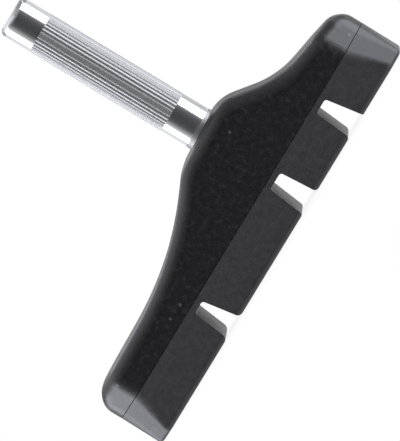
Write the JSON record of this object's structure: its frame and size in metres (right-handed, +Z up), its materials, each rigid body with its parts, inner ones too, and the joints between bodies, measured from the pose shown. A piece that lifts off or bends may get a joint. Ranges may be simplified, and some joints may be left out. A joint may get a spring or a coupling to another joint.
{
  "type": "bicycle rim brake pad",
  "caption": "Moulded rubber brake block with a bell-shaped back and slotted friction face, on a plain knurled steel post that a bicycle's brake arm clamps.",
  "frame": {"origin": "middle of the friction face, on the plane that presses on the rim", "axes": "+Z up along the post, away from the rim; +X along the block towards its short arm; Y across the block"},
  "size_m": [0.072, 0.0126, 0.0544],
  "materials": {
    "moulded_rubber": "satin",
    "plated_steel": "polished",
    "bare_steel": "satin"
  },
  "bodies": {
    "root": {"rubber_block": "moulded_rubber", "post": "plated_steel", "backing_plate": "bare_steel"}
  },
  "joints": []
}
